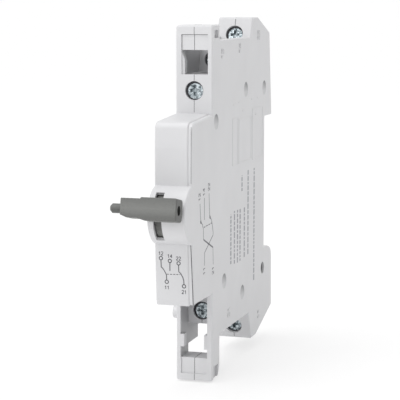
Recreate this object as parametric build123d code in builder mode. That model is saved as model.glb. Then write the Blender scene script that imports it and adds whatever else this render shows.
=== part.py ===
from build123d import *
import os
from math import cos, degrees, radians, sin, tan

os.makedirs("parts", exist_ok=True)

# The block seen from its side: X is its width, Y runs from the nose back to the rail, Z is up.
# The origin is the middle of the face that seats on the rail.

# Width
module_width = 9.0
side_wall = 1.0
half_width = module_width / 2
inner_half = half_width - side_wall

# Depth, from the rail seat forward
body_depth = 64.0
shoulder_setback = 16.0
fin_depth = 6.1
leg_depth = 6.3
claw_depth = 7.9
upper_claw_depth = 7.35
nose_y = -body_depth
shoulder_y = nose_y + shoulder_setback
fin_back = shoulder_y + fin_depth
leg_back = shoulder_y + leg_depth

# Heights
rail_notch = 35.3
nose_top = 20.9
nose_rise = 0.8
nose_bottom = -21.7
nose_lean = 1.2
fin_top = 42.5
leg_bottom = -42.8
leg_cut_high = 2.6
leg_cut_deep = 1.5
block_top = 43.75
block_bottom = -39.7
wall_top = 38.9
right_wall_bottom = -32.5
left_wall_bottom = -32.1
apron_bottom = -35.2
apron_end = -33.7
front_step = 30.9
middle_step = 37.4
gap_roof = -30.1
notch_half = rail_notch / 2

# Rear block
top_edge_y = -12.15
top_flat = 5.45
top_slope_end = (4.9, 39.7)
bottom_edge_y = -12.6
bottom_flat = 4.6
bottom_slope_end = -34.5
claw_radius = 3.0
claw_slope = 0.9
claw_step = 0.2
claw_toe = 4.0
claw_cut_deep = 2.0
claw_cut_drop = 1.3
claw_run = 6.0

# Walls around the edge, webs inside and edge rounding
rim = 1.2
web = 1.15
edge_break = 0.25
plate_setback = 0.25
nose_round = 0.4
fin_corner = 1.1

# Lever and its bearing in the bulge of the nose
pivot_setback = 1.4
pivot_z = -0.4
bulge_radius = 6.9
bulge_wall = 0.8
lever_rest = 12.0
lever_up = 40.0
lever_down = -40.0
slot_left = -3.1
slot_width = 2.0
slot_reach = 53.0
slot_play = 0.15
drum_play = 0.3
arm_height = 2.6
arm_root = 0.6
bar_inner = 7.5
bar_outer = 12.2
bar_height = 5.2
bar_lift = 0.2
bar_right = 4.1
bar_left = -9.2
bar_step_x = -4.4
bar_step_top = 0.3
bar_step_drop = 0.55
bar_step_run = 1.9
bar_tip_run = 1.7
bar_tip_drop = 0.65
bar_chamfer = 0.9
bar_round = 0.35
coupling_radius = 10.2
coupling_hole = 2.25
coupling_hole_depth = 6.0
coupling_pin = 2.2
coupling_pin_length = 2.75
pin_tip = 0.45
trunnion = 2.0
trunnion_play = 0.06
trunnion_end = 4.1
bearing_ring = 4.2
bearing_face = 1.6
crank_radius = 2.6
crank_pin = 1.2
crank_play = 0.14
pivot_y = nose_y + pivot_setback
drum_radius = bulge_radius - bulge_wall - drum_play
arm_left = slot_left + slot_play
arm_right = slot_left + slot_width - slot_play

# Slider driven by the crank pin: its travel per radian of the lever, chosen over the whole swing
slider_rate = 0.925 * crank_radius
slider_left = -0.9
slider_right = 0.7
slider_height = 1.4
slider_play = 0.1
fork_wall = 0.9
fork_drop = 2.0
slider_above = 3.4
slider_bottom = pivot_z + slider_above
slider_top = slider_bottom + slider_height
slider_level = slider_bottom + slider_height / 2
guide_length = 4.0
guide_lip = 1.0
guide_rib = 1.2
front_guide_y = -52.0
rear_guide_y = -22.0

# Contact arms, hinged at their feet and moved by the slider
arm_foot_z = -17.0
arm_y = {"11": -33.5, "21": -10.0}
arm_thick = 0.5
arm_inner = 1.0
arm_outer = 3.0
arm_head_left = -1.0
foot_radius = 0.8
foot_play = 0.1
foot_seat_half = 1.6
post_radius = 0.7
post_play = 0.1
contact_clear = 4.6
contact_reach = slider_top + contact_clear - arm_foot_z
head_margin = 2.0
head_low = 3.4
head_corner = 0.8
contact_x = 0.6
contact_radius = 1.2
contact_head = 0.8
rivet_shank = 0.6
rivet_play = 0.02
contact_gap = 0.05
riveted = ["11"]
slider_arm = slider_level - arm_foot_z
arm_rate = slider_rate / slider_arm
swing_forward = degrees(arm_rate * radians(lever_down - lever_rest))
swing_back = degrees(arm_rate * radians(lever_up - lever_rest))

# Contact strips
strip_thick = 0.8
strip_half = 1.9
strip_gap = 0.4
strip_edge = 3.1
strip_above = 3.0
strip_below = 2.2
strip_bend = 3.2
slot_run = 4.9
run_11_z = -19.5
run_21_z = -21.6

# Terminals: depths are measured along the screw from the face that it is turned from
tilt = 20.0
screw_bore = 4.5
bore_lead = 2.0
screw_head = 4.1
head_recess = 0.7
head_height = 1.9
screw_shank = 2.9
cage_half = 3.0
cage_long = 5.2
cage_wall = 0.8
cage_front_wall = 1.2
cage_bore = 3.0
cage_play = 0.15
cage_start = 4.9
wire_space = 3.1
tongue_gap = 0.1
clamp_travel = 2.0
wire_hole = 3.4
wire_run = 9.0
recess_wide = 0.75
recess_long = 2.4
recess_depth = 1.1
tongue_clear = 0.3
tongue_room = 2.2
tongue_front = cage_start + cage_front_wall + tongue_room
tongue_back = tongue_front + strip_thick
cage_end = tongue_back + wire_space + cage_wall
tongue_mid = tongue_front + strip_thick / 2
wire_depth = tongue_back + wire_space / 2
chamber_start = cage_start - clamp_travel - cage_play
chamber_length = cage_end + cage_play - chamber_start
chamber_half = cage_half + cage_play
chamber_side = cage_long / 2 + cage_play

terminal_z = {"12": 27.1, "14": 34.0, "22": 39.6, "11": -36.2, "21": -26.9}
terminal_side = {"12": 1, "14": 1, "22": 1, "11": -1, "21": -1}
terminal_tilt = {"12": 0.0, "14": tilt, "22": tilt, "11": tilt, "21": 0.0}
lean = tan(radians(tilt))
middle_face_y = -32.2
terminal_y = {
    "12": shoulder_y,
    "14": middle_face_y,
    "22": top_edge_y - (block_top - terminal_z["22"]) * lean,
    "11": bottom_edge_y - (terminal_z["11"] - block_bottom) * lean,
    "21": leg_back,
}

# Openings in the fin and the leg
fin_window = (-3.15, 3.37, front_step, 36.65)
fin_panel_top = 40.3
leg_window = (-3.5, 3.2, -37.3, -22.4)
leg_panel = (-3.36, 2.96, -41.2)
panel_depth = 0.3
fin_jamb = 0.7
fin_jamb_z = (34.3, 36.3)
jamb_tab = 0.9
jamb_tab_deep = 2.0
jamb_tab_inset = 0.4
left_tab_z = (-34.6, -31.6)
right_tab_z = (-35.2, -31.7)
fin_slot = (-46.5, -43.1, 39.4, 41.3)
leg_slot = (-47.1, -43.1, -43.0, -39.5)
side_slot_depth = 0.7

# Joining pins inside, with a dimple outside over each and a nub on the other face
joint_pins = [(-44.85, 19.6), (-18.5, 25.8), (-0.5, 25.25), (-37.9, -20.0), (-21.3, -25.8)]
boss_radius = 1.9
join_pin = 2.0
join_play = 0.04
join_depth = 2.6
dimple = 3.7
dimple_depth = 0.7
nub_height = 0.7
nub_diameter = 3.4
side_hole = 3.2
side_hole_depth = 2.5
side_hole_at = (-1.4, -22.8)
lug_z = -26.6
lug_height = 3.3
lug_length = 3.8
lug_out = 1.2


def terminal_plane(number):
    """Plane on a terminal's face: Z runs in along the screw, Y out along the wire."""
    side = terminal_side[number]
    angle = radians(terminal_tilt[number])
    return Plane(
        origin=(0, terminal_y[number], terminal_z[number]),
        x_dir=(-side, 0, 0),
        z_dir=(0, cos(angle), -side * sin(angle)),
    )


def terminal_point(number, depth, out):
    """Y and Z of a point at a depth along the screw and a distance out along the wire."""
    spot = terminal_plane(number).from_local_coords(Vector(0, out, depth))
    return spot.Y, spot.Z


def wire_plane(number):
    """Plane across the wire's way, at the middle of the clamp."""
    face = terminal_plane(number)
    return Plane(
        origin=face.from_local_coords(Vector(0, 0, wire_depth)),
        x_dir=(1, 0, 0),
        z_dir=face.y_dir,
    )


def swung(number, ahead, reach, swing):
    """Y and Z of a point of a contact arm after the arm has swung by an angle in degrees."""
    angle = radians(swing)
    y = arm_y[number] + ahead * cos(angle) + reach * sin(angle)
    z = arm_foot_z + reach * cos(angle) - ahead * sin(angle)
    return y, z


def round_corner(y, z, radius):
    """Round the corner of the running sketch that lies nearest to a point."""
    corner = vertices().sort_by_distance((y, z))[0]
    fillet(corner, radius)


def slab(y0, y1, z0, z1):
    """Rectangle between two corners, inside a sketch on a YZ plane."""
    with Locations(((y0 + y1) / 2, (z0 + z1) / 2)):
        Rectangle(abs(y1 - y0), abs(z1 - z0))


# Corners of the side view, shared by both shells
top_face_foot = (top_edge_y - (block_top - middle_step) * lean, middle_step)
top_face_wall = (top_edge_y - (block_top - wall_top) * lean, wall_top)
bottom_face_roof = (bottom_edge_y - (gap_roof - block_bottom) * lean, gap_roof)
middle_face_foot = (middle_face_y - (terminal_z["14"] - front_step) * lean, front_step)
middle_face_top = (middle_face_y + (middle_step - terminal_z["14"]) * lean, middle_step)
nose_edge = [
    (shoulder_y, nose_bottom),
    (nose_y + nose_lean, nose_bottom + 0.1),
    (nose_y + 0.65 * nose_lean, nose_bottom + 1.3),
    (nose_y, -7.0),
    (nose_y, 15.0),
    (nose_y + 0.3, nose_top - 0.1),
    (shoulder_y, nose_top + nose_rise),
]
rear_edge = [
    (top_edge_y, block_top),
    (top_edge_y + top_flat, block_top),
    top_slope_end,
    (upper_claw_depth, notch_half),
    (0, notch_half),
    (0, -notch_half),
    (claw_toe, -notch_half),
    (claw_depth, -notch_half - claw_slope),
    (claw_depth + claw_step, bottom_slope_end),
    (bottom_edge_y + bottom_flat, block_bottom),
    (bottom_edge_y, block_bottom),
]
leg_edge = [
    (leg_back, leg_bottom + leg_cut_high),
    (leg_back - leg_cut_deep, leg_bottom),
    (shoulder_y, leg_bottom),
]


def core_points():
    """Outline of the hollow body between the side walls."""
    fin = [(shoulder_y, fin_top), (fin_back, fin_top), (fin_back, front_step)]
    steps = [middle_face_foot, middle_face_top, top_face_foot]
    under = [bottom_face_roof, (leg_back, gap_roof)]
    return nose_edge + fin + steps + rear_edge + under + leg_edge


def wall_foot(level):
    """Y where the lower terminal's leaning face meets a side wall that ends at a level."""
    return bottom_edge_y - (level - block_bottom) * lean


def upper_face(level):
    """Y of the upper claw's leaning rear face at a level."""
    share = (level - notch_half) / (top_slope_end[1] - notch_half)
    return upper_claw_depth + share * (top_slope_end[0] - upper_claw_depth)


def side_points(under, setback=0.0):
    """Outline of a side wall, set back along the nose; its lower edge behind the leg is given."""
    nose = [
        (shoulder_y, nose_edge[0][1] + setback),
        (nose_edge[1][0] + setback, nose_edge[1][1] + setback),
        (nose_edge[2][0] + setback, nose_edge[2][1]),
        (nose_edge[3][0] + setback, nose_edge[3][1]),
        (nose_edge[4][0] + setback, nose_edge[4][1]),
        (nose_edge[5][0] + setback, nose_edge[5][1] - setback),
        (shoulder_y, nose_edge[6][1] - setback),
    ]
    fin = [(shoulder_y, fin_top), (fin_back, fin_top), (fin_back, wall_top), top_face_wall]
    return nose + fin + rear_edge + under + leg_edge


# Lower edges of the side walls; behind the leg the left wall hangs lower, as an apron
right_under = [(wall_foot(right_wall_bottom), right_wall_bottom), (leg_back, right_wall_bottom)]
left_under = [
    (wall_foot(left_wall_bottom), left_wall_bottom),
    (apron_end, left_wall_bottom),
    (apron_end, apron_bottom),
    (leg_back, apron_bottom),
]


def round_outline():
    """Rounded corners that both side walls and the body between them share."""
    round_corner(nose_y + 0.3, nose_top - 0.1, 1.5)
    round_corner(nose_y + 0.65 * nose_lean, nose_bottom + 1.3, 1.0)
    round_corner(shoulder_y, fin_top, 0.6)
    round_corner(top_edge_y, block_top, 0.5)
    round_corner(claw_depth, -notch_half - claw_slope, claw_radius)
    round_corner(bottom_edge_y, block_bottom, 0.5)


# Hollow of the body, seen from the side; the webs under the clamp chambers stay
web_13 = chamber_side + web
last = chamber_start + chamber_length
hollow_upper = [
    (nose_y + rim + 0.3, nose_top - rim),
    (shoulder_y, nose_top + nose_rise - rim),
    (shoulder_y + rim, terminal_z["12"] - web_13),
    (terminal_point("14", chamber_start, -web_13)[0] - 2.0, terminal_z["12"] - web_13),
    terminal_point("14", chamber_start, -web_13),
    terminal_point("14", last, -web_13),
    terminal_point("22", chamber_start, -web_13),
    terminal_point("22", last + web, -web_13),
]
hollow_rear = [
    (upper_face(hollow_upper[-1][1] - 1.0) - rim, hollow_upper[-1][1] - 1.0),
    (upper_face(notch_half + rim) - rim, notch_half + rim),
    (-rim, notch_half + rim),
    (-rim, -notch_half - rim),
    (claw_depth - rim - claw_cut_deep, -notch_half - rim - claw_cut_drop),
    (claw_depth - rim, -notch_half - rim - claw_radius),
    terminal_point("11", last + web + claw_run, -web_13),
]
hollow_lower = [
    terminal_point("11", chamber_start, -web_13),
    (bottom_face_roof[0] - 1.0, gap_roof + rim),
    (terminal_y["21"] + last + web, gap_roof + rim),
    (terminal_y["21"] + last + web, terminal_z["21"] + web_13),
    (leg_back, terminal_z["21"] + web_13),
    (shoulder_y, nose_bottom + rim),
    (nose_y + rim + nose_lean, nose_bottom + rim),
    (nose_y + rim, -7.0),
]
with BuildPart() as hollow:
    with BuildSketch(Plane.YZ.offset(-inner_half)):
        Polygon(*hollow_upper, *hollow_rear, *hollow_lower, align=None)
        with Locations((pivot_y, pivot_z)):
            Circle(bulge_radius - bulge_wall)
    extrude(amount=2 * inner_half)

# Screw bore, clamp chamber, wire hole and strip slot of each terminal
with BuildPart() as terminal_cuts:
    for number in terminal_z:
        face = terminal_plane(number)
        with BuildSketch(face.offset(-bore_lead)):
            Circle(screw_bore / 2)
        extrude(amount=chamber_start + bore_lead + 0.1)
        with BuildSketch(face.offset(chamber_start)):
            Rectangle(2 * chamber_half, 2 * chamber_side)
        extrude(amount=chamber_length)
        with BuildSketch(wire_plane(number)):
            Circle(wire_hole / 2)
        extrude(amount=wire_run)
        with BuildSketch(face.offset(tongue_front - tongue_clear)):
            with Locations((0, -chamber_side - slot_run / 2 + 0.05)):
                Rectangle(2 * (strip_half + tongue_clear), slot_run + 0.1)
        extrude(amount=strip_thick + 2 * tongue_clear)

# Window and panel of the fin, window and panel of the leg
with BuildPart() as window_cuts:
    with BuildSketch(Plane.XZ.offset(-shoulder_y)):
        slab(*fin_window)
    extrude(amount=-fin_depth)
    with BuildSketch(Plane.XZ.offset(-shoulder_y)):
        slab(fin_window[0], fin_window[1], fin_window[3], fin_panel_top)
        slab(leg_panel[0], leg_panel[1], leg_panel[2], leg_window[2])
    extrude(amount=-panel_depth)
    with BuildSketch(Plane.XZ.offset(-shoulder_y)):
        slab(*leg_window)
    extrude(amount=-leg_depth)


# Left shell: side wall, half of the body and the whole front of the nose
with BuildPart() as base_shell:
    with BuildSketch(Plane.YZ.offset(-half_width)):
        Polygon(*side_points(left_under), align=None)
        round_outline()
        with Locations((pivot_y, pivot_z)):
            Circle(bulge_radius)
    extrude(amount=side_wall)
    chamfer(faces().sort_by(Axis.X)[0].outer_wire().edges(), edge_break)
    with BuildSketch(Plane.YZ.offset(inner_half)):
        Polygon(*nose_edge, align=None)
        round_corner(nose_y + 0.3, nose_top - 0.1, 1.5)
        round_corner(nose_y + 0.65 * nose_lean, nose_bottom + 1.3, 1.0)
        with Locations((pivot_y, pivot_z)):
            Circle(bulge_radius)
    extrude(amount=-inner_half)
    front_rim = faces().sort_by(Axis.X)[-1].outer_wire().edges()
    front_rim = front_rim.filter_by(lambda e: e.center().Y < shoulder_y - 0.1)
    fillet(front_rim.filter_by(lambda e: abs(e.center().Z - pivot_z) > bulge_radius / 2), nose_round)
    with BuildSketch(Plane.YZ.offset(-inner_half)):
        Polygon(*core_points(), align=None)
        round_outline()
        with Locations((pivot_y, pivot_z)):
            Circle(bulge_radius)
    extrude(amount=inner_half)
    add(hollow.part, mode=Mode.SUBTRACT)
    add(terminal_cuts.part, mode=Mode.SUBTRACT)
    add(window_cuts.part, mode=Mode.SUBTRACT)
    # Slot in the bulge for the lever's arm
    with BuildSketch(Plane.YZ.offset(slot_left)):
        with BuildLine():
            reach = bulge_radius + 2
            up = (pivot_y - reach * cos(radians(slot_reach)), pivot_z + reach * sin(radians(slot_reach)))
            down = (up[0], 2 * pivot_z - up[1])
            Polyline((pivot_y, pivot_z), up, (pivot_y - reach, pivot_z), down, close=True)
        make_face()
    extrude(amount=slot_width, mode=Mode.SUBTRACT)
    # Large round on the fin's top left corner
    with BuildSketch(Plane.XZ.offset(-shoulder_y + 1)):
        slab(-half_width - 1, fin_corner - half_width, fin_top - fin_corner, fin_top + 1)
        with Locations((fin_corner - half_width, fin_top - fin_corner)):
            Circle(fin_corner, mode=Mode.SUBTRACT)
    extrude(amount=-fin_depth - 2, mode=Mode.SUBTRACT)
    # Wedge on the left side of the fin window
    with BuildSketch(Plane.XZ.offset(-shoulder_y - jamb_tab_inset)):
        jamb_x, jamb_foot = fin_window[0], fin_window[2] - 0.2
        jamb_back = [(jamb_x - 0.2, jamb_foot), (jamb_x - 0.2, fin_jamb_z[1]), (jamb_x, fin_jamb_z[1])]
        jamb_front = [(jamb_x + fin_jamb, fin_jamb_z[0]), (jamb_x + fin_jamb, jamb_foot)]
        Polygon(*jamb_back, *jamb_front, align=None)
    extrude(amount=-jamb_tab_deep)
    # Tab on the left side of the leg window, flush with the front
    with BuildSketch(Plane.XZ.offset(-shoulder_y)):
        slab(leg_window[0] - 0.2, leg_window[0] + jamb_tab, *left_tab_z)
    extrude(amount=-jamb_tab_deep)
    # Bosses for the joining pins, bearing ring and slider guides, on the inside of the wall
    with BuildSketch(Plane.YZ.offset(-inner_half)):
        with Locations(*joint_pins):
            RegularPolygon(boss_radius, 6)
    extrude(amount=inner_half)
    with BuildSketch(Plane.YZ.offset(0)):
        with Locations(*joint_pins):
            RegularPolygon(join_pin / 2 + join_play, 6)
    extrude(amount=-join_depth - 0.2, mode=Mode.SUBTRACT)
    with BuildSketch(Plane.YZ.offset(-inner_half)):
        with Locations((pivot_y, pivot_z)):
            Circle(bearing_ring / 2)
    extrude(amount=inner_half + arm_left - 0.15)
    with BuildSketch(Plane.YZ.offset(-trunnion_end - trunnion_play)):
        with Locations((pivot_y, pivot_z)):
            Circle(trunnion / 2 + trunnion_play)
    extrude(amount=trunnion_end + arm_left, mode=Mode.SUBTRACT)
    for guide_y in (front_guide_y, rear_guide_y):
        start, end = guide_y - guide_length / 2, guide_y + guide_length / 2
        with BuildSketch(Plane.YZ.offset(-inner_half)):
            slab(start, end, slider_bottom - guide_lip - slider_play, slider_top + guide_lip + slider_play)
        extrude(amount=inner_half + slider_left - slider_play)
        with BuildSketch(Plane.YZ.offset(slider_left - slider_play)):
            slab(start, end, slider_top + slider_play, slider_top + slider_play + guide_lip)
            slab(start, end, slider_bottom - slider_play - guide_lip, slider_bottom - slider_play)
        extrude(amount=slider_right - slider_left)
    # Outside of the left wall: nubs that meet the breaker's dimples, and a snap lug
    for y, z in joint_pins:
        with BuildSketch(Plane.YZ.offset(-half_width)):
            with Locations((y, z)):
                Circle(nub_diameter / 2)
        extrude(amount=-nub_height)
    with BuildSketch(Plane.YZ.offset(-half_width)):
        with Locations((shoulder_y + 0.4 + lug_length / 2, lug_z)):
            SlotOverall(lug_length, lug_height)
    extrude(amount=-lug_out, taper=8)
base_shell.part.label = "base_shell"
export_step(base_shell.part, "parts/base_shell.step")


# Right shell: side wall with the bearing disc, and the other half of the body behind the nose
with BuildPart() as cover_shell:
    with BuildSketch(Plane.YZ.offset(inner_half)):
        Polygon(*side_points(right_under, plate_setback), align=None)
        round_outline()
        with Locations((pivot_y, pivot_z)):
            Circle(bulge_radius)
    extrude(amount=side_wall)
    chamfer(faces().sort_by(Axis.X)[-1].outer_wire().edges(), edge_break)
    with BuildSketch(Plane.YZ):
        Polygon(*core_points(), align=None)
        round_outline()
        with Locations((shoulder_y - body_depth / 2, 0)):
            Rectangle(body_depth, 2 * body_depth, mode=Mode.SUBTRACT)
    extrude(amount=inner_half)
    add(hollow.part, mode=Mode.SUBTRACT)
    add(terminal_cuts.part, mode=Mode.SUBTRACT)
    add(window_cuts.part, mode=Mode.SUBTRACT)
    # Tab on the right side of the leg window
    with BuildSketch(Plane.XZ.offset(-shoulder_y - jamb_tab_inset)):
        slab(leg_window[1] - jamb_tab, leg_window[1] + 0.2, *right_tab_z)
    extrude(amount=-jamb_tab_deep)
    # Bearing boss for the lever's long trunnion
    with BuildSketch(Plane.YZ.offset(bearing_face)):
        with Locations((pivot_y, pivot_z)):
            Circle(bearing_ring / 2)
    extrude(amount=inner_half - bearing_face)
    with BuildSketch(Plane.YZ.offset(bearing_face)):
        with Locations((pivot_y, pivot_z)):
            Circle(trunnion / 2 + trunnion_play)
    extrude(amount=trunnion_end + trunnion_play - bearing_face, mode=Mode.SUBTRACT)
    # Bosses with the joining pins
    with BuildSketch(Plane.YZ):
        with Locations(*joint_pins):
            RegularPolygon(boss_radius, 6)
    extrude(amount=inner_half)
    with BuildSketch(Plane.YZ):
        with Locations(*joint_pins):
            RegularPolygon(join_pin / 2, 6)
    extrude(amount=-join_depth)
    # Ribs that keep the slider down in its guides
    for guide_y in (front_guide_y, rear_guide_y):
        with BuildSketch(Plane.YZ.offset(slider_right + slider_play)):
            slab(guide_y - guide_rib / 2, guide_y + guide_rib / 2,
                 slider_bottom - guide_lip, slider_top + guide_lip)
        extrude(amount=inner_half - slider_right - slider_play)
    # Outside: dimples over the pins, one deeper hole in its own boss, and two side slots
    with BuildSketch(Plane.YZ.offset(half_width - side_hole_depth - side_wall)):
        with Locations(side_hole_at):
            Circle(side_hole / 2 + side_wall)
    extrude(amount=side_hole_depth)
    with BuildSketch(Plane.YZ.offset(half_width)):
        with Locations(side_hole_at):
            Circle(side_hole / 2)
    extrude(amount=-side_hole_depth, mode=Mode.SUBTRACT)
    with BuildSketch(Plane.YZ.offset(half_width)):
        with Locations(*joint_pins):
            Circle(dimple / 2)
    extrude(amount=-dimple_depth, mode=Mode.SUBTRACT)
    with BuildSketch(Plane.YZ.offset(half_width)):
        slab(*fin_slot)
        slab(*leg_slot)
    extrude(amount=-side_slot_depth, mode=Mode.SUBTRACT)
cover_shell.part.label = "cover_shell"
export_step(cover_shell.part, "parts/cover_shell.step")


# Lever: bar with its coupling pin and hole, arm, drum, trunnions and crank pin, moulded in one
rest = radians(lever_rest)
lever_plane = Plane(
    origin=(0, pivot_y, pivot_z),
    x_dir=(0, -cos(rest), sin(rest)),
    z_dir=(-1, 0, 0),
)
bar_plane = Plane(
    origin=lever_plane.from_local_coords(Vector(bar_inner, bar_lift, 0)),
    x_dir=(1, 0, 0),
    z_dir=lever_plane.x_dir,
)
bar_top = bar_height / 2
step_top = bar_top - bar_step_top
step_foot = bar_step_drop - bar_top
bar_outline = [
    (bar_right, bar_top),
    (bar_step_x + 0.1, bar_top),
    (bar_step_x - 0.1, step_top),
    (bar_left, step_top),
    (bar_left, step_foot + bar_tip_drop),
    (bar_left + bar_tip_run, step_foot),
    (bar_step_x - 0.7, step_foot),
    (bar_step_x - 0.7 + bar_step_run, -bar_top),
    (bar_right, -bar_top),
]
with BuildPart() as lever:
    with BuildSketch(bar_plane):
        Polygon(*bar_outline, align=None)
    extrude(amount=bar_outer - bar_inner)
    fillet(faces().sort_by(Axis.X)[-1].edges() + faces().sort_by(Axis.X)[0].edges(), bar_round)
    with BuildSketch(lever_plane.offset(-bar_right)):
        with Locations(((bar_inner + bar_outer) / 2, bar_lift)):
            Rectangle(bar_outer - bar_inner, bar_height)
        chamfer(vertices().sort_by(Axis.X)[:2], bar_chamfer)
    extrude(amount=bar_right - bar_left, mode=Mode.INTERSECT)
    with BuildSketch(lever_plane.offset(-arm_right)):
        with Locations(((bar_inner + arm_root) / 2, 0)):
            Rectangle(bar_inner + arm_root, arm_height)
        Circle(drum_radius)
    extrude(amount=arm_right - arm_left)
    with BuildSketch(lever_plane.offset(-trunnion_end)):
        Circle(trunnion / 2)
    extrude(amount=2 * trunnion_end)
    with BuildSketch(lever_plane.offset(-slider_right - 0.3)):
        with Locations((0, crank_radius)):
            Circle(crank_pin / 2)
    extrude(amount=slider_right + 0.3 - arm_right)
    with BuildSketch(lever_plane.offset(-bar_right)):
        with Locations((coupling_radius, bar_lift)):
            Circle(coupling_hole / 2)
    extrude(amount=coupling_hole_depth, mode=Mode.SUBTRACT)
    with BuildSketch(lever_plane.offset(-bar_left - 0.2)):
        with Locations((coupling_radius, bar_lift)):
            Circle(coupling_pin / 2)
    extrude(amount=coupling_pin_length + 0.2)
    chamfer(faces().sort_by(Axis.X)[0].edges(), pin_tip)
lever.part.label = "lever"
export_step(lever.part, "parts/lever.step")


# Slider: fork over the crank pin, flat bar, and two round posts astride each contact arm
crank_y = pivot_y + crank_radius * sin(rest)
fork_half = crank_pin / 2 + crank_play
fork_middle = crank_y - 0.015 * crank_radius
slider_end = arm_y["21"] + arm_thick / 2 + post_play + 2 * post_radius + 0.5
with BuildPart() as drive_slider:
    with BuildSketch(Plane.YZ.offset(slider_left)):
        slab(fork_middle - fork_half - fork_wall, slider_end, slider_bottom, slider_top)
        slab(fork_middle - fork_half - fork_wall, fork_middle - fork_half,
             slider_bottom - fork_drop, slider_bottom)
        slab(fork_middle + fork_half, fork_middle + fork_half + fork_wall,
             slider_bottom - fork_drop, slider_bottom)
        round_corner(fork_middle - fork_half - fork_wall, slider_top, 0.6)
    extrude(amount=slider_right - slider_left)
    post_offset = arm_thick / 2 + post_play + post_radius
    for foot_y in arm_y.values():
        with BuildSketch(Plane.YZ.offset(slider_right)):
            with Locations((foot_y - post_offset, slider_level), (foot_y + post_offset, slider_level)):
                Circle(post_radius)
        extrude(amount=arm_outer - slider_right - 0.1)
drive_slider.part.label = "drive_slider"
export_step(drive_slider.part, "parts/drive_slider.step")


# Contact arms: a rolled foot, a narrow blade beside the slider and a wider head for the contact
arm_head_z = arm_foot_z + contact_reach - head_low
arm_top_z = arm_foot_z + contact_reach + head_margin
for number, foot_y in arm_y.items():
    with BuildPart() as contact_arm:
        with BuildSketch(Plane.YZ.offset(arm_inner)):
            with Locations((foot_y, arm_foot_z)):
                Circle(foot_radius)
            slab(foot_y - arm_thick / 2, foot_y + arm_thick / 2, arm_foot_z, arm_head_z)
        extrude(amount=arm_outer - arm_inner)
        with BuildSketch(Plane.XZ.offset(-foot_y - arm_thick / 2)):
            slab(arm_head_left, arm_outer, arm_head_z, arm_top_z)
            fillet(vertices().group_by(Axis.Y)[-1], head_corner)
            if number in riveted:
                with Locations((contact_x, arm_foot_z + contact_reach)):
                    Circle(rivet_shank + rivet_play, mode=Mode.SUBTRACT)
        extrude(amount=arm_thick)
    contact_arm.part.label = "contact_arm_" + number
    export_step(contact_arm.part, "parts/contact_arm_" + number + ".step")

    # Moving contact: a tip on the arm's front, and on a changeover arm a rivet with a head behind too
    with BuildPart() as moving_contact:
        with BuildSketch(Plane.XZ.offset(-foot_y + arm_thick / 2)):
            with Locations((contact_x, arm_foot_z + contact_reach)):
                Circle(contact_radius)
        extrude(amount=contact_head)
        if number in riveted:
            with BuildSketch(Plane.XZ.offset(-foot_y + arm_thick / 2)):
                with Locations((contact_x, arm_foot_z + contact_reach)):
                    Circle(rivet_shank)
            extrude(amount=-arm_thick)
            with BuildSketch(Plane.XZ.offset(-foot_y - arm_thick / 2)):
                with Locations((contact_x, arm_foot_z + contact_reach)):
                    Circle(contact_radius)
            extrude(amount=-contact_head)
    moving_contact.part.label = "moving_contact_" + number
    export_step(moving_contact.part, "parts/moving_contact_" + number + ".step")


# Fixed contacts: each meets its arm squarely where the arm stops
fixed_on = {"12": ("11", -1, swing_forward), "14": ("11", 1, swing_back), "22": ("21", -1, swing_forward)}
face_ahead = arm_thick / 2 + contact_head + contact_gap
strip_ahead = face_ahead + contact_head + strip_thick / 2
for number, (arm, ahead, swing) in fixed_on.items():
    spot_y, spot_z = swung(arm, ahead * face_ahead, contact_reach, swing)
    angle = radians(swing)
    contact_plane = Plane(
        origin=(contact_x, spot_y, spot_z),
        x_dir=(1, 0, 0),
        z_dir=(0, ahead * cos(angle), -ahead * sin(angle)),
    )
    with BuildPart() as fixed_contact:
        with BuildSketch(contact_plane):
            Circle(contact_radius)
        extrude(amount=contact_head)
    fixed_contact.part.label = "fixed_contact_" + number
    export_step(fixed_contact.part, "parts/fixed_contact_" + number + ".step")

    # Strip from the fixed contact up into the clamp
    top = terminal_point(number, tongue_mid, cage_long / 2)
    bend = terminal_point(number, tongue_mid, -chamber_side - strip_bend)
    upper_end = swung(arm, ahead * strip_ahead, contact_reach + strip_above, swing)
    lower_end = swung(arm, ahead * strip_ahead, contact_reach - strip_below, swing)
    with BuildPart() as contact_strip:
        with BuildSketch(Plane.YZ.offset(-strip_half)):
            with BuildLine() as path:
                Polyline(top, bend, upper_end, lower_end)
            trace(path.line, strip_thick)
        extrude(amount=2 * strip_half)
    contact_strip.part.label = "contact_strip_" + number
    export_step(contact_strip.part, "parts/contact_strip_" + number + ".step")


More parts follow.
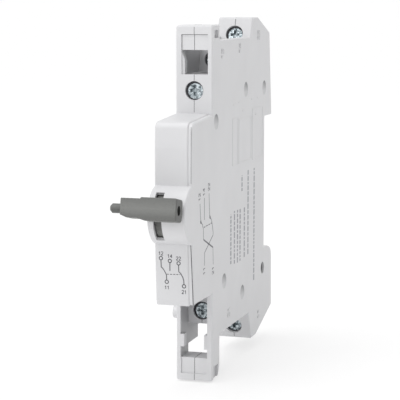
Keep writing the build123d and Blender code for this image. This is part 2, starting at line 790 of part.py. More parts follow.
# Strips that carry the arms: tongue in the clamp, run along the body, seat for the arm's foot
run_z = {"11": run_11_z, "21": run_21_z}
run_sides = {"11": (-strip_edge, -strip_gap), "21": (strip_gap, strip_edge)}
for number, foot_y in arm_y.items():
    left, right = run_sides[number]
    outer_end = terminal_point(number, tongue_mid, cage_long / 2)
    bend = terminal_point(number, tongue_mid, -chamber_side - web - 1.2)
    run_start = terminal_point(number, tongue_mid, -chamber_side - web - 0.15)
    level = terminal_point(number, tongue_mid, 0)[1]
    rise = (run_z[number] - level) / cos(radians(terminal_tilt[number]))
    turn = terminal_point(number, tongue_mid, -rise)
    with BuildPart() as contact_strip:
        with BuildSketch(Plane.YZ.offset(-strip_half)):
            with BuildLine() as tongue_path:
                Polyline(outer_end, bend)
            trace(tongue_path.line, strip_thick)
        extrude(amount=2 * strip_half)
        with BuildSketch(Plane.YZ.offset(left)):
            with BuildLine() as run_path:
                Polyline(run_start, turn, (foot_y, run_z[number]))
            trace(run_path.line, strip_thick)
        extrude(amount=right - left)
        with BuildSketch(Plane.YZ.offset(min(left, arm_inner))):
            slab(foot_y - foot_seat_half, foot_y + foot_seat_half, run_z[number] - strip_thick / 2,
                 arm_foot_z - 0.1)
            with Locations((foot_y, arm_foot_z)):
                Circle(foot_radius + foot_play, mode=Mode.SUBTRACT)
        extrude(amount=arm_outer - min(left, arm_inner))
    contact_strip.part.label = "contact_strip_" + number
    export_step(contact_strip.part, "parts/contact_strip_" + number + ".step")


# Terminal screws and rising clamps
for number in terminal_z:
    face = terminal_plane(number)
    with BuildPart() as terminal_screw:
        with BuildSketch(face.offset(head_recess)):
            Circle(screw_head / 2)
        extrude(amount=head_height)
        with BuildSketch(face.offset(head_recess + head_height)):
            Circle(screw_shank / 2)
        extrude(amount=tongue_front - tongue_gap - head_recess - head_height)
        with BuildSketch(face.offset(head_recess)):
            Rectangle(recess_wide, recess_long)
            Rectangle(recess_long, recess_wide)
        extrude(amount=recess_depth, mode=Mode.SUBTRACT)
    terminal_screw.part.label = "terminal_screw_" + number
    export_step(terminal_screw.part, "parts/terminal_screw_" + number + ".step")

    with BuildPart() as clamp:
        with BuildSketch(face.offset(cage_start)):
            Rectangle(2 * cage_half, cage_long)
        extrude(amount=cage_end - cage_start)
        with BuildSketch(face.offset(cage_start + cage_front_wall)):
            Rectangle(2 * (cage_half - cage_wall), cage_long + 1)
        extrude(amount=cage_end - cage_wall - cage_start - cage_front_wall, mode=Mode.SUBTRACT)
        with BuildSketch(face.offset(cage_start)):
            Circle(cage_bore / 2)
        extrude(amount=cage_front_wall + 0.1, mode=Mode.SUBTRACT)
    clamp.part.label = "clamp_" + number
    export_step(clamp.part, "parts/clamp_" + number + ".step")
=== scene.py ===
import math
import random

import bmesh
import bpy
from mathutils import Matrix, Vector


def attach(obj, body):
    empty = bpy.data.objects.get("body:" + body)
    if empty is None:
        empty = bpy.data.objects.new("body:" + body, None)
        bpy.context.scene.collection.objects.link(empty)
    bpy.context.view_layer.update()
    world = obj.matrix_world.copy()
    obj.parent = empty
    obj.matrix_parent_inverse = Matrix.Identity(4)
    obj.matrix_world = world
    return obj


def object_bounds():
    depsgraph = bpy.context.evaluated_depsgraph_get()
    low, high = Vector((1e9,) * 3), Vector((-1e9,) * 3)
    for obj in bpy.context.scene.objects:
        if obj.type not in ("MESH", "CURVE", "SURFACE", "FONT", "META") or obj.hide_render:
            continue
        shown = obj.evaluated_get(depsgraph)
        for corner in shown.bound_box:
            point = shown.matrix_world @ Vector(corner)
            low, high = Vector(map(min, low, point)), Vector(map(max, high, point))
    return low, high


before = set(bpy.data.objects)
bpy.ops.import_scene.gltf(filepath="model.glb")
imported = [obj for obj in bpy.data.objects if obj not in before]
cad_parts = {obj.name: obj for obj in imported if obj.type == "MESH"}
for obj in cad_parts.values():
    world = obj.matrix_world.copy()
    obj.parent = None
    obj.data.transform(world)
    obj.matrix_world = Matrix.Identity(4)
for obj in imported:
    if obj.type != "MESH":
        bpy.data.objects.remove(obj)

cad_box = [list(corner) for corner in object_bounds()]

MM = 0.001

# Faces of the housing, in millimetres in the row frame
SIDE_X = 4.5
NOSE_Y = -64.0
NOSE_LEAN_TOP = -7.0
NOSE_LEAN_FOOT = (-63.22, -20.4)
PLATE_SETBACK = 0.25
FIN_Y = -48.0
PANEL_Y = -47.7
FIN_TOP = 42.5
REAR_TOP = 43.75
WINDOW_TOP = 36.65
FIN_PANEL_TOP = 40.3
LEG_FLOOR = -37.3
LEG_PANEL_FOOT = -41.2
TERMINAL_21_Y = -41.7

# Lever, with the coupling hole in its right end
BAR_LEFT = -9.2
BAR_HALF = 2.6
COUPLING_AXIS = (0.0, -72.536, 1.916)
COUPLING_HOLE = 2.27
COUPLING_HOLE_END = -2.2

# Terminals: Y, Z and tilt of each face where the screw's axis meets it, and how deep the screw heads lie
TILT = 20.0
TERMINALS = {
    "12": (FIN_Y, 27.1, 0.0), "14": (-32.2, 34.0, TILT), "22": (-13.66, 39.6, TILT),
    "11": (-13.874, -36.2, -TILT), "21": (TERMINAL_21_Y, -26.9, 0.0),
}
HEAD_DEPTH = 0.7

# Heights of print and raised marks over the faces that carry them
PRINT_HIGH = 0.015
FIELD_HIGH = 0.054
RAISED_HIGH = 0.13

# Textures: features per metre, and depths in metres
DRIFT = 90.0
GRAIN = 5200.0
GRAIN_DEPTH = 0.00002
FLECKS = 6500.0
FLECK_DEPTH = 0.00003
SCRATCHES = 2600.0
PLASTIC_IOR = 1.47
GLOSS_SPREAD = 0.06

# Part of a surface's normal along an axis where a tone of painted shade starts and where it is full
TO_RIGHT = (0.45, 0.9)
TO_FRONT = (-0.75, -0.95)
DOWN_TO_UP = (-0.38, 0.12)


class Graph:
    """Node tree of a material or the world, with short calls for the nodes it needs."""

    def __init__(self, tree):
        self.nodes = tree.nodes
        self.links = tree.links

    def feed(self, socket, value):
        """Join an input to another node's output, or give it a plain value."""
        if isinstance(value, bpy.types.NodeSocket):
            self.links.new(value, socket)
        else:
            socket.default_value = value

    def place(self, kind):
        """Texture coordinates of a kind, such as Object or Normal."""
        return self.nodes.new("ShaderNodeTexCoord").outputs[kind]

    def parts(self, vector):
        """The X, Y and Z outputs of a vector."""
        split = self.nodes.new("ShaderNodeSeparateXYZ")
        self.feed(split.inputs["Vector"], vector)
        return split.outputs

    def math(self, operation, first, second):
        """Result of a sum, product or test of two values."""
        node = self.nodes.new("ShaderNodeMath")
        node.operation = operation
        self.feed(node.inputs[0], first)
        self.feed(node.inputs[1], second)
        return node.outputs["Value"]

    def vector_math(self, operation, first, second):
        """The outputs of a product or distance of two vectors."""
        node = self.nodes.new("ShaderNodeVectorMath")
        node.operation = operation
        self.feed(node.inputs[0], first)
        self.feed(node.inputs[1], second)
        return node.outputs

    def share(self, source, start, end):
        """0 up to the start and 1 from the end on, rising evenly between them."""
        node = self.nodes.new("ShaderNodeMapRange")
        self.feed(node.inputs["Value"], source)
        self.feed(node.inputs["From Min"], start)
        self.feed(node.inputs["From Max"], end)
        return node.outputs["Result"]

    def noise(self, scale, detail, roughness=0.55):
        """Noise in object space; the scale is in features per metre."""
        texture = self.nodes.new("ShaderNodeTexNoise")
        self.feed(texture.inputs["Vector"], self.place("Object"))
        self.feed(texture.inputs["Scale"], scale)
        self.feed(texture.inputs["Detail"], detail)
        self.feed(texture.inputs["Roughness"], roughness)
        return texture.outputs["Fac"]

    def ramp(self, source, stops):
        """Colour ramp driven by a socket; stops are (place, colour)."""
        mixer = self.nodes.new("ShaderNodeValToRGB")
        while len(mixer.color_ramp.elements) < len(stops):
            mixer.color_ramp.elements.new(0.5)
        for element, (place, colour) in zip(mixer.color_ramp.elements, stops):
            element.position = place
            element.color = (*colour, 1.0)
        self.feed(mixer.inputs["Fac"], source)
        return mixer.outputs["Color"]

    def tones(self, source, stops):
        """Ramp of greys driven by a socket; stops are (place, tone)."""
        return self.ramp(source, [(place, (tone,) * 3) for place, tone in stops])

    def multiply(self, first, second, share=1.0):
        """Product of two colours, or part of the way to it by a share."""
        mixer = self.nodes.new("ShaderNodeMix")
        mixer.data_type = "RGBA"
        mixer.blend_type = "MULTIPLY"
        self.feed(mixer.inputs["Factor"], share)
        self.feed(mixer.inputs["A"], first)
        self.feed(mixer.inputs["B"], second)
        return mixer.outputs["Result"]

    def bump(self, shader, source, distance, strength):
        """Bump on a shader from a socket, its height in metres."""
        bumper = self.nodes.new("ShaderNodeBump")
        self.feed(bumper.inputs["Height"], source)
        self.feed(bumper.inputs["Distance"], distance)
        self.feed(bumper.inputs["Strength"], strength)
        self.feed(shader.inputs["Normal"], bumper.outputs["Normal"])

    def mix_shaders(self, share, first, second):
        """Mix of two shaders by a share."""
        blend = self.nodes.new("ShaderNodeMixShader")
        self.feed(blend.inputs["Fac"], share)
        self.feed(blend.inputs[1], first)
        self.feed(blend.inputs[2], second)
        return blend.outputs["Shader"]


def new_finish(name):
    """New material, with its graph and its Principled shader."""
    material = bpy.data.materials.new(name)
    material.use_nodes = True
    graph = Graph(material.node_tree)
    return material, graph, graph.nodes["Principled BSDF"]


def within(graph, low, high, fade):
    """1 inside a box in millimetres and 0 outside it, rising over a fade from the box's top down."""
    spot = graph.parts(graph.place("Object"))
    inside = graph.share(spot["Z"], high[2] * MM, (high[2] - fade) * MM)
    for axis, start, end in zip("XYZ", low, high):
        inside = graph.math("MULTIPLY", inside, graph.math("GREATER_THAN", spot[axis], start * MM))
        inside = graph.math("MULTIPLY", inside, graph.math("LESS_THAN", spot[axis], end * MM))
    return inside


def fine_grain(graph, shader):
    """Spark-eroded grain as a bump on a plastic; returns its noise."""
    grain = graph.noise(GRAIN, detail=4.0, roughness=0.6)
    graph.bump(shader, grain, GRAIN_DEPTH, strength=0.5)
    return grain


def moulded_plastic(name, light, dark, roughness, shade_boxes=()):
    """Plastic with slow colour drift, fine grain, uneven gloss and painted shade in the given boxes."""
    material, graph, shader = new_finish(name)
    colour = graph.ramp(graph.noise(DRIFT, detail=2.0), [(0.3, dark), (0.7, light)])
    # Painted shade: each box darkens the colour by its tone
    for low, high, tone, fade in shade_boxes:
        inside = within(graph, low, high, fade)
        colour = graph.multiply(colour, graph.tones(inside, [(0.0, 1.0), (1.0, tone)]))
    graph.feed(shader.inputs["Base Color"], colour)
    gloss = [(0.25, roughness - GLOSS_SPREAD), (0.75, roughness + GLOSS_SPREAD)]
    graph.feed(shader.inputs["Roughness"], graph.tones(fine_grain(graph, shader), gloss))
    shader.inputs["IOR"].default_value = PLASTIC_IOR
    return material


def hollow_shade_finish(name, light, dark, roughness):
    """Plastic of the round hollows, with painted shade where their walls face down."""
    material, graph, shader = new_finish(name)
    facing = graph.parts(graph.place("Normal"))
    upward = graph.share(facing["Z"], *DOWN_TO_UP)
    graph.feed(shader.inputs["Base Color"], graph.ramp(upward, [(0.0, dark), (1.0, light)]))
    fine_grain(graph, shader)
    shader.inputs["Roughness"].default_value = roughness
    return material


def in_coupling_hole(graph, spot):
    """1 in the lever's coupling hole and 0 elsewhere; the spot is the place's X, Y and Z."""
    across = graph.vector_math("MULTIPLY", graph.place("Object"), (0.0, 1.0, 1.0))["Vector"]
    reach = graph.vector_math("DISTANCE", across, Vector(COUPLING_AXIS) * MM)["Value"]
    near = graph.math("LESS_THAN", reach, COUPLING_HOLE / 2 * MM)
    right = graph.math("GREATER_THAN", spot["X"], COUPLING_HOLE_END * MM)
    return graph.math("MULTIPLY", near, right)


def lever_finish(name, light, dark, fleck, roughness, end_shade, pin_tone, hole_shade, front_shade_tones):
    """Flecked plastic, darker on its pin, with painted shade on its right end, in its hole and along the
    front's edges.

    The front's tones of painted shade are (place, tone), from the bar's lower edge at 0 to its upper edge at
    1.
    """
    material, graph, shader = new_finish(name)
    flecks = graph.noise(FLECKS, detail=5.0, roughness=0.7)
    colour = graph.ramp(flecks, [(0.30, dark), (0.48, light), (0.62, light), (0.78, fleck)])
    spot = graph.parts(graph.place("Object"))
    facing = graph.parts(graph.place("Normal"))
    # Painted shade on faces turned to the right, in the coupling hole and towards the front's lower and
    # upper edges
    on_end = graph.share(facing["X"], *TO_RIGHT)
    on_pin = graph.math("LESS_THAN", spot["X"], BAR_LEFT * MM)
    in_hole = in_coupling_hole(graph, spot)
    for place, tone in ((on_end, end_shade), (on_pin, pin_tone), (in_hole, hole_shade)):
        colour = graph.multiply(colour, graph.tones(place, [(0.0, 1.0), (1.0, tone)]))
    bar_middle = COUPLING_AXIS[2]
    height = graph.share(spot["Z"], (bar_middle - BAR_HALF) * MM, (bar_middle + BAR_HALF) * MM)
    on_front = graph.share(facing["Y"], *TO_FRONT)
    colour = graph.multiply(colour, graph.tones(height, front_shade_tones), on_front)
    graph.feed(shader.inputs["Base Color"], colour)
    shader.inputs["Roughness"].default_value = roughness
    graph.bump(shader, flecks, FLECK_DEPTH, strength=0.6)
    return material


def metal(name, light, dark, roughness, patch=700.0, depth=0.00004):
    """Plated metal with darker patches, tarnish on most metals and painted reflection on the zinc, and fine
    scratches.
    """
    material, graph, shader = new_finish(name)
    patches = graph.noise(patch, detail=4.0, roughness=0.6)
    graph.feed(shader.inputs["Base Color"], graph.ramp(patches, [(0.35, dark), (0.65, light)]))
    scratches = graph.noise(SCRATCHES, detail=5.0, roughness=0.7)
    bright, worn = roughness - 0.08, roughness + 0.12
    graph.feed(shader.inputs["Roughness"], graph.tones(scratches, [(0.3, bright), (0.7, worn)]))
    graph.bump(shader, patches, depth, strength=0.6)
    shader.inputs["Metallic"].default_value = 1.0
    return material


# Boxes of painted shade: low corner, high corner, tone, and the fade from the top down, in millimetres
FIN_POCKET_SHADE = ((-3.6, -45.9, 30.0), (3.52, -31.0, 39.5), 0.68, 6.0)
LEG_WALL_SHADE = ((-3.6, -47.5, -37.2), (-3.45, -34.0, -22.0), 0.74, 0.1)
REAR_HOLE_SHADE = ((1.9, -3.1, -24.5), (3.95, 0.3, -21.1), 0.3, 0.1)

housing = moulded_plastic(
    "housing_plastic", light=(0.635, 0.635, 0.647), dark=(0.61, 0.61, 0.622), roughness=0.42,
    shade_boxes=(FIN_POCKET_SHADE, LEG_WALL_SHADE, REAR_HOLE_SHADE),
)
# Painted shade on the hollows' downward walls
hollow_shaded_plastic = hollow_shade_finish(
    "hollow_shaded_plastic", light=(0.57, 0.57, 0.582), dark=(0.17, 0.17, 0.178), roughness=0.5,
)
slider_plastic = moulded_plastic(
    "slider_plastic", light=(0.62, 0.60, 0.55), dark=(0.58, 0.56, 0.51), roughness=0.45,
)
# Its end, hole and front tones are painted shade
lever_grey = lever_finish(
    "lever_plastic", light=(0.178, 0.181, 0.173), dark=(0.098, 0.101, 0.096), fleck=(0.27, 0.275, 0.265),
    roughness=0.5, end_shade=0.53, pin_tone=0.66, hole_shade=0.3,
    front_shade_tones=[(0.0, 0.6), (0.27, 0.68), (0.43, 0.87), (0.6, 1.0), (0.76, 0.9), (0.95, 0.78)],
)
# The zinc's dark patches are painted reflections
zinc = metal(
    "zinc_plated_steel", light=(0.60, 0.66, 0.69), dark=(0.06, 0.08, 0.09), roughness=0.22,
    patch=1700.0, depth=0.00035,
)
clamp_steel = metal("passivated_steel", light=(0.62, 0.60, 0.52), dark=(0.46, 0.45, 0.40), roughness=0.34)
copper = metal("copper_alloy", light=(0.80, 0.52, 0.32), dark=(0.62, 0.38, 0.22), roughness=0.3)
silver = metal("silver_contact", light=(0.86, 0.85, 0.83), dark=(0.72, 0.71, 0.68), roughness=0.22)
shade = moulded_plastic(
    "gap_shade", light=(0.045, 0.045, 0.05), dark=(0.035, 0.035, 0.04), roughness=0.8,
)
ink = moulded_plastic(
    "print_ink", light=(0.075, 0.075, 0.085), dark=(0.055, 0.055, 0.065), roughness=0.5,
)
side_ink = moulded_plastic(
    "side_print_ink", light=(0.13, 0.13, 0.145), dark=(0.10, 0.10, 0.115), roughness=0.5,
)
pale_ink = moulded_plastic(
    "pale_print_ink", light=(0.33, 0.33, 0.36), dark=(0.27, 0.27, 0.30), roughness=0.5,
)

# Finishes of the CAD nodes, by the start of their names
NODE_FINISHES = {
    "base_shell": housing,
    "cover_shell": housing,
    "lever": lever_grey,
    "drive_slider": slider_plastic,
    "terminal_screw": zinc,
    "clamp": clamp_steel,
    "contact_strip": copper,
    "contact_arm": copper,
    "fixed_contact": silver,
    "moving_contact": silver,
}

for name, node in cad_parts.items():
    for start, material in NODE_FINISHES.items():
        if name.startswith(start):
            node.data.materials.clear()
            node.data.materials.append(material)


def new_piece(name, vertices, faces, material, body):
    """Mesh piece in millimetres that rides on a body."""
    mesh = bpy.data.meshes.new(name)
    mesh.from_pydata([Vector(v) * MM for v in vertices], [], faces)
    mesh.materials.append(material)
    builder = bmesh.new()
    builder.from_mesh(mesh)
    bmesh.ops.recalc_face_normals(builder, faces=builder.faces)
    builder.to_mesh(mesh)
    builder.free()
    piece = bpy.data.objects.new(name, mesh)
    bpy.context.scene.collection.objects.link(piece)
    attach(piece, body)
    return piece


def side_point(across, up, out):
    """Point on the right side: across is Y, up is Z, out is the height over the face."""
    return (SIDE_X + out, across, up)


def front_point(across, up, out):
    """Point on the nose's front: across is X, up is Z; the lower front leans back."""
    slope = (NOSE_LEAN_FOOT[0] - NOSE_Y) / (NOSE_LEAN_TOP - NOSE_LEAN_FOOT[1])
    back = max(0.0, NOSE_LEAN_TOP - up) * slope
    return (across, NOSE_Y + back - out, up)


def plate_edge_point(across, up, out):
    """Point on the right plate's front edge, set back beside the nose's front."""
    return front_point(across, up, out - PLATE_SETBACK)


def panel_point(across, up, out):
    """Point on the recessed panel of the fin: across is X, up is Z."""
    return (across, PANEL_Y - out, up)


def screw_point(number, across, up, depth):
    """Point in a terminal's own directions, the depth along its screw."""
    y, z, tilt = TERMINALS[number]
    angle = math.radians(tilt)
    return (
        across,
        y + depth * math.cos(angle) + up * math.sin(angle),
        z - depth * math.sin(angle) + up * math.cos(angle),
    )


def circle(centre, radius, steps):
    """Points round a circle on a flat face."""
    angles = [2 * math.pi * i / steps for i in range(steps)]
    return [(centre[0] + radius * math.cos(a), centre[1] + radius * math.sin(a)) for a in angles]


def ring_faces(steps):
    """Faces of a flat ring of four loops: low inner, low outer, high inner and high outer."""
    faces = []
    for i in range(steps):
        j = (i + 1) % steps
        faces.append((i, j, steps + j, steps + i))
        faces.append((2 * steps + i, 3 * steps + i, 3 * steps + j, 2 * steps + j))
        faces.append((i, 2 * steps + i, 2 * steps + j, j))
        faces.append((steps + i, steps + j, 3 * steps + j, 3 * steps + i))
    return faces


class Surface:
    """Vertices and faces gathered for one piece."""

    def __init__(self):
        self.vertices = []
        self.faces = []

    def add(self, vertices, faces):
        """Take in vertices and the faces between them."""
        first = len(self.vertices)
        self.vertices += vertices
        self.faces += [tuple(first + i for i in face) for face in faces]

    def piece(self, name, material, body="housing", slot_name="housing"):
        """The surface as one piece."""
        return new_piece(name, self.vertices, self.faces, material, body)


class Drawing(Surface):
    """Flat print of a small height: strokes, rings, dots and digits."""

    # Each digit as a chain of points, and the steps between digits, in shares of a digit's height
    DIGITS = {
        "1": [(0.1, 0.75), (0.35, 1.0), (0.35, 0.0)],
        "2": [(0.0, 0.8), (0.12, 1.0), (0.42, 1.0), (0.55, 0.82), (0.52, 0.6), (0.0, 0.0), (0.58, 0.0)],
        "4": [(0.45, 0.0), (0.45, 1.0), (0.0, 0.32), (0.6, 0.32)],
    }
    ADVANCE = 0.78
    SPACE = 0.2

    def __init__(self, place, high):
        super().__init__()
        self.place = place
        self.high = high

    def prism(self, outline):
        """Closed prism over a flat outline."""
        count = len(outline)
        vertices = [self.place(a, b, out) for out in (0.0, self.high) for a, b in outline]
        faces = [tuple(range(count)), tuple(range(2 * count - 1, count - 1, -1))]
        for i in range(count):
            j = (i + 1) % count
            faces.append((i, j, count + j, count + i))
        self.add(vertices, faces)

    def stroke(self, start, end, width):
        """Straight line of a width."""
        start, end = Vector(start), Vector(end)
        along = (end - start).normalized()
        side = Vector((-along.y, along.x)) * width / 2
        self.prism([start + side, start - side, end - side, end + side])

    def path(self, points, width):
        """Chain of strokes."""
        for start, end in zip(points, points[1:]):
            self.stroke(start, end, width)

    def dashes(self, start, end, dash, gap, width):
        """Dashed line between two points."""
        start, end = Vector(start), Vector(end)
        along = (end - start).normalized()
        length = (end - start).length
        at = 0.0
        while at < length:
            self.stroke(start + along * at, start + along * min(at + dash, length), width)
            at += dash + gap

    def ring(self, centre, radius, width, steps=24):
        """Flat ring."""
        vertices = []
        for out in (0.0, self.high):
            for reach in (radius - width / 2, radius + width / 2):
                vertices += [self.place(a, b, out) for a, b in circle(centre, reach, steps)]
        self.add(vertices, ring_faces(steps))

    def dot(self, centre, radius, steps=12):
        """Filled circle."""
        self.prism(circle(centre, radius, steps))

    def number(self, digits, centre, height, width, upright=False):
        """Digits built from straight strokes; they read upward unless they stand upright."""
        total = self.ADVANCE * len(digits) - self.SPACE
        for i, digit in enumerate(digits):
            points = []
            for x, y in self.DIGITS[digit]:
                along = (x + i * self.ADVANCE - total / 2) * height
                up = (y - 0.5) * height
                spot = (along, up) if upright else (-up, along)
                points.append((centre[0] + spot[0], centre[1] + spot[1]))
            self.path(points, width)


# Contact diagram printed on the right side of the nose
SIDE_LINE = 0.24
SIDE_FINE_LINE = 0.216
SIDE_FAINT_LINE = 0.192
SIDE_BROAD_LINE = 0.36
SIDE_DIGIT = 1.3
SIDE_NUMBERS = {
    "12": (-58.3, 3.2), "14": (-54.85, 3.95), "22": (-50.75, 4.75),
    "11": (-54.6, -14.7), "21": (-47.5, -15.75),
}
CONTACT_12 = (-57.3, -2.7)
CONTACT_22 = (-49.95, -2.55)
CONTACT_DOT = 0.42
CROSS_LEFT = (-55.15, -7.15)
CROSS_HIGH = (-47.5, -7.2)
CROSS_LOW = (-47.5, -10.15)

diagram = Drawing(side_point, PRINT_HIGH)
for digits, spot in SIDE_NUMBERS.items():
    diagram.number(digits, spot, SIDE_DIGIT, SIDE_FINE_LINE)
diagram.path([(-57.95, 1.6), (-57.35, -2.5)], SIDE_LINE)
diagram.path([(-54.5, 2.6), (-54.45, -2.6)], SIDE_LINE)
diagram.path([(-50.75, 3.2), (-50.2, -2.3)], SIDE_LINE)
diagram.dot(CONTACT_12, CONTACT_DOT)
diagram.dot(CONTACT_22, CONTACT_DOT)
diagram.path([CONTACT_12, (-56.1, -3.45), (-55.3, -4.65), CROSS_LEFT], SIDE_LINE)
diagram.path([CONTACT_22, (-48.9, -3.2), (-48.2, -4.3), (-47.3, -6.8), CROSS_HIGH], SIDE_LINE)
diagram.path([CROSS_LEFT, CROSS_LOW], SIDE_BROAD_LINE)
diagram.path([CROSS_LOW, (-47.25, -14.3)], SIDE_FAINT_LINE)
diagram.path([CROSS_HIGH, (-51.6, -9.15), (-54.25, -10.35), (-54.4, -13.4)], SIDE_LINE)
diagram.dashes((-55.0, -4.3), (-48.4, -4.15), dash=1.3, gap=0.6, width=SIDE_FINE_LINE)
diagram.piece("side_diagram", side_ink)

# Contact diagram printed on the lower front of the nose
FRONT_LINE = 0.2
FRONT_FINE_LINE = 0.16
FRONT_DIGIT = 0.8
FRONT_DIGIT_LINE = 0.14
END_RADIUS = 0.4
UPPER_ENDS = {"12": (-3.1, -10.5), "14": (-0.95, -11.05), "22": (1.15, -11.5)}
LOWER_ENDS = {"11": (-1.8, -16.0), "21": (2.35, -16.85)}
NUMBER_OVER = 1.12
NUMBER_UNDER = -1.35


def under(number):
    """Foot of an upper end's circle."""
    x, z = UPPER_ENDS[number]
    return (x, z - END_RADIUS)


def over(number):
    """Top of a lower end's circle."""
    x, z = LOWER_ENDS[number]
    return (x, z + END_RADIUS)


label = Drawing(front_point, PRINT_HIGH)
for ends, rise in ((UPPER_ENDS, NUMBER_OVER), (LOWER_ENDS, NUMBER_UNDER)):
    for digits, (x, z) in ends.items():
        label.number(digits, (x, z + rise), FRONT_DIGIT, FRONT_DIGIT_LINE, upright=True)
        label.ring((x, z), END_RADIUS, FRONT_LINE)
for run in (
    [under("12"), (-3.05, -12.6), (-2.72, -12.8), (-2.15, -13.7), (-1.83, -14.4), over("11")],
    [under("14"), (-0.97, -13.4)],
    [under("22"), (1.15, -13.5), (1.6, -13.85), (2.1, -14.75), (2.33, -15.55), over("21")],
):
    label.path(run, FRONT_LINE)
label.dashes((-1.75, -14.2), (1.5, -14.12), dash=0.5, gap=0.27, width=FRONT_FINE_LINE)
label.piece("front_diagram", ink)

# Curved floors of the round hollows over the joining pins on the right side, with painted shade on their
# walls that face down
JOINT_PINS = [(-44.85, 19.6), (-18.5, 25.8), (-0.5, 25.25), (-37.9, -20.0), (-21.3, -25.8)]
HOLLOW_RADIUS = 1.93
HOLLOW_DEPTH = 0.33
HOLLOW_RIM = 0.004
HOLLOW_CURVE = 2.6


def round_hollow(centre, rings=9, steps=40):
    """Vertices and faces of a hollow let into the right side, with its rim just over the face."""
    vertices, faces = [], []
    for ring in range(rings):
        share = 1.0 - ring / rings
        out = HOLLOW_RIM - HOLLOW_DEPTH * (1.0 - share ** HOLLOW_CURVE)
        vertices += [side_point(a, b, out) for a, b in circle(centre, HOLLOW_RADIUS * share, steps)]
    vertices.append(side_point(*centre, HOLLOW_RIM - HOLLOW_DEPTH))
    for ring in range(rings - 1):
        outer, inner = ring * steps, (ring + 1) * steps
        for i in range(steps):
            j = (i + 1) % steps
            faces.append((outer + i, inner + i, inner + j, outer + j))
    last = (rings - 1) * steps
    faces += [(last + i, rings * steps, last + (i + 1) % steps) for i in range(steps)]
    return vertices, faces


hollows = Surface()
for centre in JOINT_PINS:
    hollows.add(*round_hollow(centre))
curved = hollows.piece("pin_hollows", hollow_shaded_plastic)
for face in curved.data.polygons:
    face.use_smooth = True

# Raised terminal numbers on the right side
RAISED_DIGIT = 1.7
RAISED_LINE = 0.34
RAISED_NUMBERS = {
    "12": (-39.7, 35.45), "14": (-24.3, 36.3), "22": (-6.65, 39.2),
    "21": (-33.75, -28.55), "11": (-5.3, -34.6),
}
marks = Drawing(side_point, RAISED_HIGH)
for digits, spot in RAISED_NUMBERS.items():
    marks.number(digits, spot, RAISED_DIGIT, RAISED_LINE)
marks.piece("terminal_marks", housing)

# Raised frames of the blank rating field on the right side, and short raised bars round them
FRAMES = [(-30.6, -25.9, 7.6, 19.2), (-24.9, -13.4, 7.6, 18.6), (-12.2, -2.2, 7.4, 20.4)]
FRAME_LINE = 0.28
SHORT_BARS = [(-28.6, 22.6), (-24.0, 22.9), (-12.0, 23.0), (-6.5, 23.0), (-20.5, 20.6), (-8.0, 18.8)]
SHORT_BAR_HALF = 1.2
SHORT_BAR_LINE = 0.4
field = Drawing(side_point, FIELD_HIGH)
for left, right, low, high in FRAMES:
    field.path([(left, low), (left, high), (right, high), (right, low), (left, low)], FRAME_LINE)
for y, z in SHORT_BARS:
    field.stroke((y - SHORT_BAR_HALF, z), (y + SHORT_BAR_HALF, z), SHORT_BAR_LINE)
field.piece("rating_field", housing)

# Rows of plain dashes where such a block has its ratings: Y, lower end and upper end, with nothing to read
RATING_ROWS = [
    (-32.0, -16.8, -4.4), (-28.8, -17.2, -3.9), (-26.0, -17.4, -4.0), (-23.6, -17.3, -4.1),
    (-21.9, 0.3, 4.3), (-19.6, -17.0, -4.2), (-16.1, -16.8, 5.2), (-10.2, -24.6, 4.9),
]
ROW_LINE = 1.0
SHORTEST_DASH = 0.5
LONGEST_DASH = 1.6
DASH_GAP = 0.3
bars = Drawing(side_point, PRINT_HIGH)
random.seed(7)
for y, low, high in RATING_ROWS:
    z = low
    while z < high:
        length = random.uniform(SHORTEST_DASH, LONGEST_DASH)
        bars.stroke((y, z), (y, min(z + length, high)), ROW_LINE)
        z += length + DASH_GAP
bars.piece("rating_lines", pale_ink)

# Seam between the two shells: a fine dark line along the body's edge, as chains of (Y, Z)
SEAM_WIDE = 0.11
SEAM_HIGH = 0.012
SEAM_RUNS = [
    [(FIN_Y, 22.0), (FIN_Y, 24.8)],
    [(FIN_Y, 29.4), (FIN_Y, 30.9)],
    [(PANEL_Y, WINDOW_TOP), (PANEL_Y, FIN_PANEL_TOP)],
    [(FIN_Y, FIN_PANEL_TOP), (FIN_Y, 42.0), (-47.5, FIN_TOP), (-41.9, FIN_TOP)],
    [(-12.895, 41.75), (-12.35, 43.3), (-11.9, REAR_TOP), (-6.7, REAR_TOP), (4.3, 39.91)],
    [(FIN_Y, -42.7), (FIN_Y, LEG_PANEL_FOOT)],
    [(PANEL_Y, LEG_PANEL_FOOT), (PANEL_Y, LEG_FLOOR), (-41.8, LEG_FLOOR)],
    [(TERMINAL_21_Y, -30.0), (TERMINAL_21_Y, -29.2)],
    [(-12.75, -39.3), (-13.09, -38.37)],
]
BOX_FACES = ((0, 1, 3, 2), (4, 6, 7, 5), (0, 4, 5, 1), (2, 3, 7, 6), (0, 2, 6, 4), (1, 5, 7, 3))


def seam_box(start, end):
    """Corners of a thin box along one run of the seam, half of it inside the housing."""
    along = (Vector(end) - Vector(start)).normalized()
    corners = []
    for out in (-SEAM_HIGH, SEAM_HIGH):
        for y, z in (start, end):
            for x in (-SEAM_WIDE / 2, SEAM_WIDE / 2):
                corners.append((x, y - along.y * out, z + along.x * out))
    return corners


seam = Surface()
for run in SEAM_RUNS:
    for start, end in zip(run, run[1:]):
        seam.add(seam_box(start, end), BOX_FACES)
seam.piece("seam_line", shade)

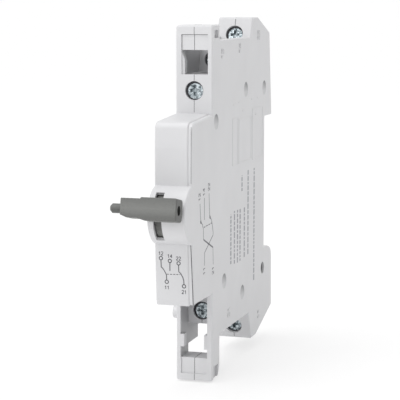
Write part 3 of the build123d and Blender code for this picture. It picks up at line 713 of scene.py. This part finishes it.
# Painted shade in the groove beside the nose's front, with a dark pit of painted shade at the top of its
# lower run
GROOVE_HIGH = 0.02
GROOVE_LINE = 0.15
UPPER_GROOVE_LINE = 0.07
PIT = 0.16
groove = Drawing(plate_edge_point, GROOVE_HIGH)
groove.path([(4.42, -21.3), (4.086, NOSE_LEAN_TOP), (4.06, -5.9)], GROOVE_LINE)
groove.dot((4.0, -5.5), PIT)
groove.path([(4.16, 6.9), (4.22, 19.9)], UPPER_GROOVE_LINE)
groove.piece("nose_groove_shade", shade)

# Fine line of painted shade along the left and upper edges of the fin's recessed panel
PANEL_LEFT = -3.1
PANEL_RIGHT = 3.32
PANEL_EDGE = 40.24
PANEL_LINE = 0.1
panel_shade_lines = Drawing(panel_point, PRINT_HIGH)
panel_shade_lines.path([(PANEL_LEFT, WINDOW_TOP), (PANEL_LEFT, PANEL_EDGE), (PANEL_RIGHT, PANEL_EDGE)], PANEL_LINE)
panel_shade_lines.piece("panel_shade_lines", shade)

# Ring of painted shade in the gap round each screw head, wider at its upper left
GAP_INNER = 1.87
GAP_OUTER = 2.24
GAP_SHIFT = 0.13
GAP_LIFT = 0.06
GAP_THICK = 0.05


def gap_shade_ring(number, steps=40):
    """Vertices and faces of a flat ring of painted shade across a screw's axis, with its inner edge moved
    down and right.
    """
    vertices = []
    top = HEAD_DEPTH - GAP_LIFT
    for depth in (top, top + GAP_THICK):
        for radius, shift in ((GAP_INNER, GAP_SHIFT), (GAP_OUTER, 0.0)):
            loop = circle((shift, -shift), radius, steps)
            vertices += [screw_point(number, across, up, depth) for across, up in loop]
    return vertices, ring_faces(steps)


for number in TERMINALS:
    gap = Surface()
    gap.add(*gap_shade_ring(number))
    gap.piece("screw_gap_shade_" + number, shade)

# Floor just under the object and world, both white where the camera sees them
FLOOR_SIZE = 60.0
FLOOR_GAP = 0.4
FLOOR_GREY = 0.93
FLOOR_ROUGHNESS = 0.9
FLOOR_GLOW = 0.62
WORLD_LIGHT = 0.67
WHITE = (1.0, 1.0, 1.0, 1.0)


def seen_rays(graph):
    """1 on rays that show the background: to the camera, in gloss and through glass."""
    rays = graph.nodes.new("ShaderNodeLightPath").outputs
    seen = graph.math("MAXIMUM", rays["Is Camera Ray"], rays["Is Glossy Ray"])
    return graph.math("MAXIMUM", seen, rays["Is Transmission Ray"])


def pale_floor():
    """Plain sheet that is white to the camera and keeps the object's shadow."""
    height = cad_box[0][2] - FLOOR_GAP * MM
    bpy.ops.mesh.primitive_plane_add(size=FLOOR_SIZE, location=(0, 0, height))
    sheet = bpy.context.object
    sheet.name = "floor"
    material, graph, shader = new_finish("floor")
    shader.inputs["Base Color"].default_value = (FLOOR_GREY, FLOOR_GREY, FLOOR_GREY, 1.0)
    shader.inputs["Roughness"].default_value = FLOOR_ROUGHNESS
    glow = graph.nodes.new("ShaderNodeEmission")
    share = graph.math("MULTIPLY", seen_rays(graph), FLOOR_GLOW)
    surface = graph.mix_shaders(share, shader.outputs["BSDF"], glow.outputs["Emission"])
    graph.feed(graph.nodes["Material Output"].inputs["Surface"], surface)
    sheet.data.materials.append(material)


def white_world():
    """World that lights the object evenly and is white where it is seen."""
    world = bpy.data.worlds.new("studio")
    bpy.context.scene.world = world
    world.use_nodes = True
    graph = Graph(world.node_tree)
    lighting = graph.nodes["Background"]
    seen = graph.nodes.new("ShaderNodeBackground")
    for background, strength in ((lighting, WORLD_LIGHT), (seen, 1.0)):
        background.inputs["Color"].default_value = WHITE
        background.inputs["Strength"].default_value = strength
    surface = graph.mix_shaders(seen_rays(graph), lighting.outputs["Background"], seen.outputs["Background"])
    graph.feed(graph.nodes["World Output"].inputs["Surface"], surface)


pale_floor()
white_world()

# Lamps, with places and sizes in metres
AIM = (0.0, -0.035, 0.0)
SUN_DIRECTION = (0.25, 0.28, -0.93)
SUN_STRENGTH = 1.35
SUN_ANGLE = 50.0


def add_lamp(name, kind, direction):
    """Lamp that shines along a direction; returns its object."""
    holder = bpy.data.objects.new(name, bpy.data.lights.new(name, kind))
    bpy.context.scene.collection.objects.link(holder)
    holder.rotation_euler = Vector(direction).to_track_quat("-Z", "Y").to_euler()
    return holder


def soft_box(name, location, size, power):
    """Square area lamp aimed at the object."""
    holder = add_lamp(name, "AREA", Vector(AIM) - Vector(location))
    holder.location = location
    holder.data.size = size
    holder.data.energy = power


soft_box("key", (-0.20, -0.42, 0.20), size=0.35, power=0.44)
soft_box("rim", (0.10, 0.35, 0.60), size=0.5, power=0.6)

daylight = add_lamp("daylight", "SUN", SUN_DIRECTION).data
daylight.energy = SUN_STRENGTH
daylight.angle = math.radians(SUN_ANGLE)

# Camera at the photograph's angle
CAMERA_PLACE = (109.573, -398.472, 49.568)
CAMERA_YAW = 17.148
CAMERA_PITCH = 7.518
CAMERA_CLIP = 0.01
FOCAL_PIXELS = 1557.19
FRAME_PIXELS = 400
SENSOR = 36.0
eye = bpy.data.cameras.new("camera")
eye.sensor_width = SENSOR
eye.lens = FOCAL_PIXELS / FRAME_PIXELS * SENSOR
eye.clip_start = CAMERA_CLIP
camera = bpy.data.objects.new("camera", eye)
camera.location = Vector(CAMERA_PLACE) * MM
camera.rotation_euler = (math.radians(90 - CAMERA_PITCH), 0, math.radians(CAMERA_YAW))
bpy.context.scene.collection.objects.link(camera)
bpy.context.scene.camera = camera
bpy.context.scene.view_settings.view_transform = "Standard"
